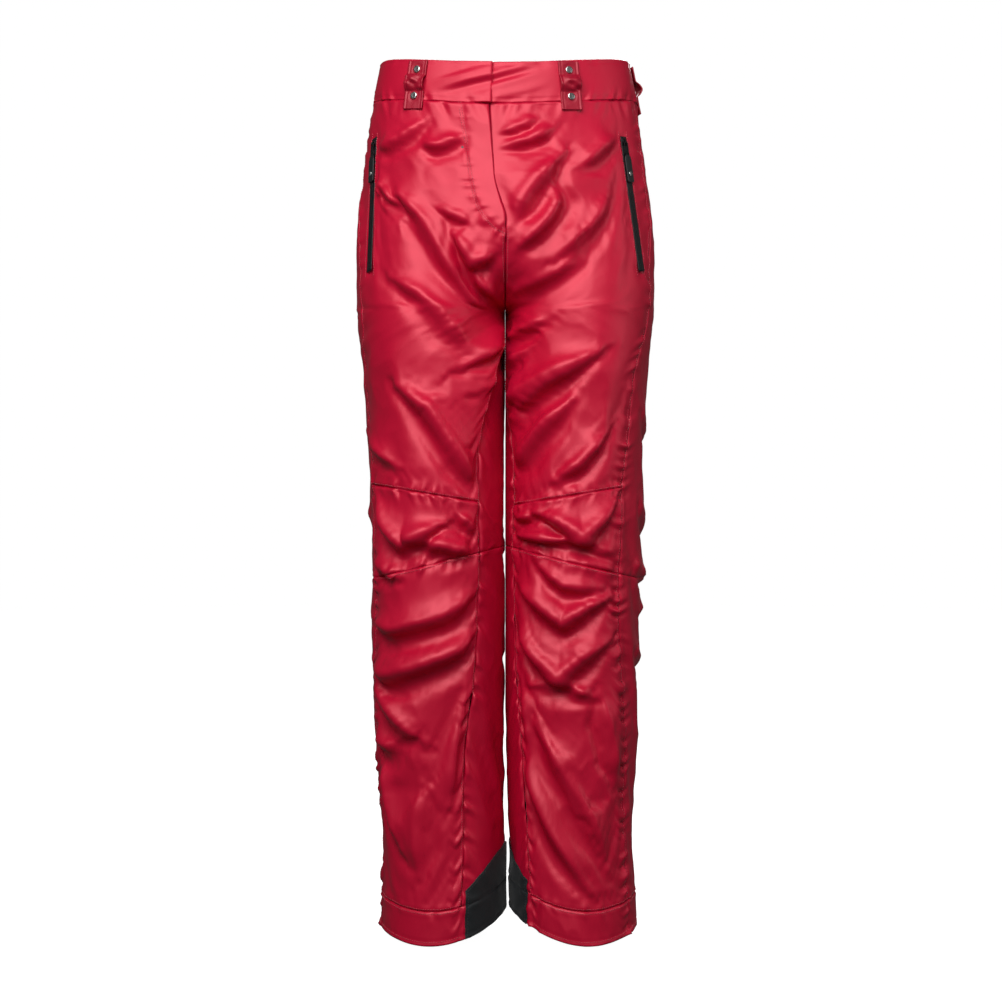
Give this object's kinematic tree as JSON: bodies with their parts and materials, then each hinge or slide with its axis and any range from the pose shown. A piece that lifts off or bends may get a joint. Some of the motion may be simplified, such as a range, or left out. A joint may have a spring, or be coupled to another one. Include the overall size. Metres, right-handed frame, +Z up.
{
  "type": "ski trousers",
  "caption": "Women's padded ski trousers with a shaped knee, a zip fly under a lapped front, zipped hand pockets, belt loops, snow gaiters and dark guards inside the ankles.",
  "frame": {"origin": "middle of the opening at the top of the waistband, level with its top edge at the sides", "axes": "+X wearer's left, -Y front, +Z up"},
  "size_m": [0.3576, 0.2534, 1.0453],
  "materials": {
    "shell_cloth": "satin woven polyester shell cloth, crimson red, soft sheen",
    "guard_cloth": "coated heavy nylon, near black, matt",
    "lining_cloth": "plain woven lining taffeta, dark grey",
    "gaiter_cloth": "plain woven nylon with an elastic edge, charcoal",
    "zip_tape": "coated woven zip tape, black",
    "zip_coil": "nylon coil, black",
    "black_metal": "die-cast zinc, black enamel",
    "puller_tab": "black coated leather tab",
    "silver_rivet": "nickel plated brass"
  },
  "bodies": {
    "trousers": {"front_thigh_left": "shell_cloth", "knee_panel_left": "shell_cloth", "front_shin_left": "shell_cloth", "back_thigh_left": "shell_cloth", "back_shin_left": "shell_cloth", "hem_band_left": "shell_cloth", "ankle_guard_left": "guard_cloth", "pocket_zip_left_tape": "zip_tape", "pocket_zip_left_coil": "zip_coil", "pocket_bag_left": "lining_cloth", "lining_left": "lining_cloth", "snow_gaiter_left": "gaiter_cloth", "front_thigh_right": "shell_cloth", "knee_panel_right": "shell_cloth", "front_shin_right": "shell_cloth", "back_thigh_right": "shell_cloth", "back_shin_right": "shell_cloth", "hem_band_right": "shell_cloth", "ankle_guard_right": "guard_cloth", "pocket_zip_right_tape": "zip_tape", "pocket_zip_right_coil": "zip_coil", "pocket_bag_right": "lining_cloth", "lining_right": "lining_cloth", "snow_gaiter_right": "gaiter_cloth", "waistband_left": "shell_cloth", "waistband_right": "shell_cloth", "waistband_back": "shell_cloth", "belt_loop_front_left": "shell_cloth", "rivet_front_left_top": "silver_rivet", "rivet_front_left_foot": "silver_rivet", "belt_loop_front_right": "shell_cloth", "rivet_front_right_top": "silver_rivet", "rivet_front_right_foot": "silver_rivet", "belt_loop_side_left": "shell_cloth", "rivet_side_left_top": "silver_rivet", "rivet_side_left_foot": "silver_rivet", "belt_loop_side_right": "shell_cloth", "rivet_side_right_top": "silver_rivet", "rivet_side_right_foot": "silver_rivet", "belt_loop_back": "shell_cloth", "rivet_back_top": "silver_rivet", "rivet_back_foot": "silver_rivet", "fly_facing": "shell_cloth", "fly_underlap": "shell_cloth", "fly_zip_tape": "zip_tape", "fly_zip_coil": "zip_coil", "waist_socket": "silver_rivet", "waist_stud": "silver_rivet"},
    "pocket_slider_left": {"pocket_zip_left_slider": "black_metal"},
    "pocket_puller_left": {"pocket_zip_left_puller": "puller_tab", "pocket_zip_left_puller_rivet": "silver_rivet"},
    "pocket_slider_right": {"pocket_zip_right_slider": "black_metal"},
    "pocket_puller_right": {"pocket_zip_right_puller": "puller_tab", "pocket_zip_right_puller_rivet": "silver_rivet"},
    "fly_slider": {"fly_zip_slider": "black_metal"},
    "fly_puller": {"fly_zip_puller": "black_metal"}
  },
  "joints": [
    {"name": "pocket_zip_left_slide", "type": "slide", "parent": "trousers", "child": "pocket_slider_left", "axis": [0.1353, -0.0031, -0.9908], "range_m": [0, 0.144]},
    {"name": "pocket_puller_left_hinge", "type": "hinge", "parent": "pocket_slider_left", "child": "pocket_puller_left", "pos_m": [0.14049, -0.0568, -0.10365], "axis": [-0.6143, -0.7849, -0.0815], "range_deg": [0, 150]},
    {"name": "pocket_zip_right_slide", "type": "slide", "parent": "trousers", "child": "pocket_slider_right", "axis": [-0.0298, -0.1448, -0.989], "range_m": [0, 0.1471]},
    {"name": "pocket_puller_right_hinge", "type": "hinge", "parent": "pocket_slider_right", "child": "pocket_puller_right", "pos_m": [-0.15661, -0.03454, -0.10087], "axis": [-0.4958, 0.8613, -0.1112], "range_deg": [0, 150]},
    {"name": "fly_zip_slide", "type": "slide", "parent": "trousers", "child": "fly_slider", "axis": [0.1141, -0.1201, -0.9862], "range_m": [0, 0.1114]},
    {"name": "fly_puller_hinge", "type": "hinge", "parent": "fly_slider", "child": "fly_puller", "pos_m": [-0.04093, -0.09469, -0.08135], "axis": [-0.9761, 0.1713, -0.1338], "range_deg": [0, 3]}
  ]
}
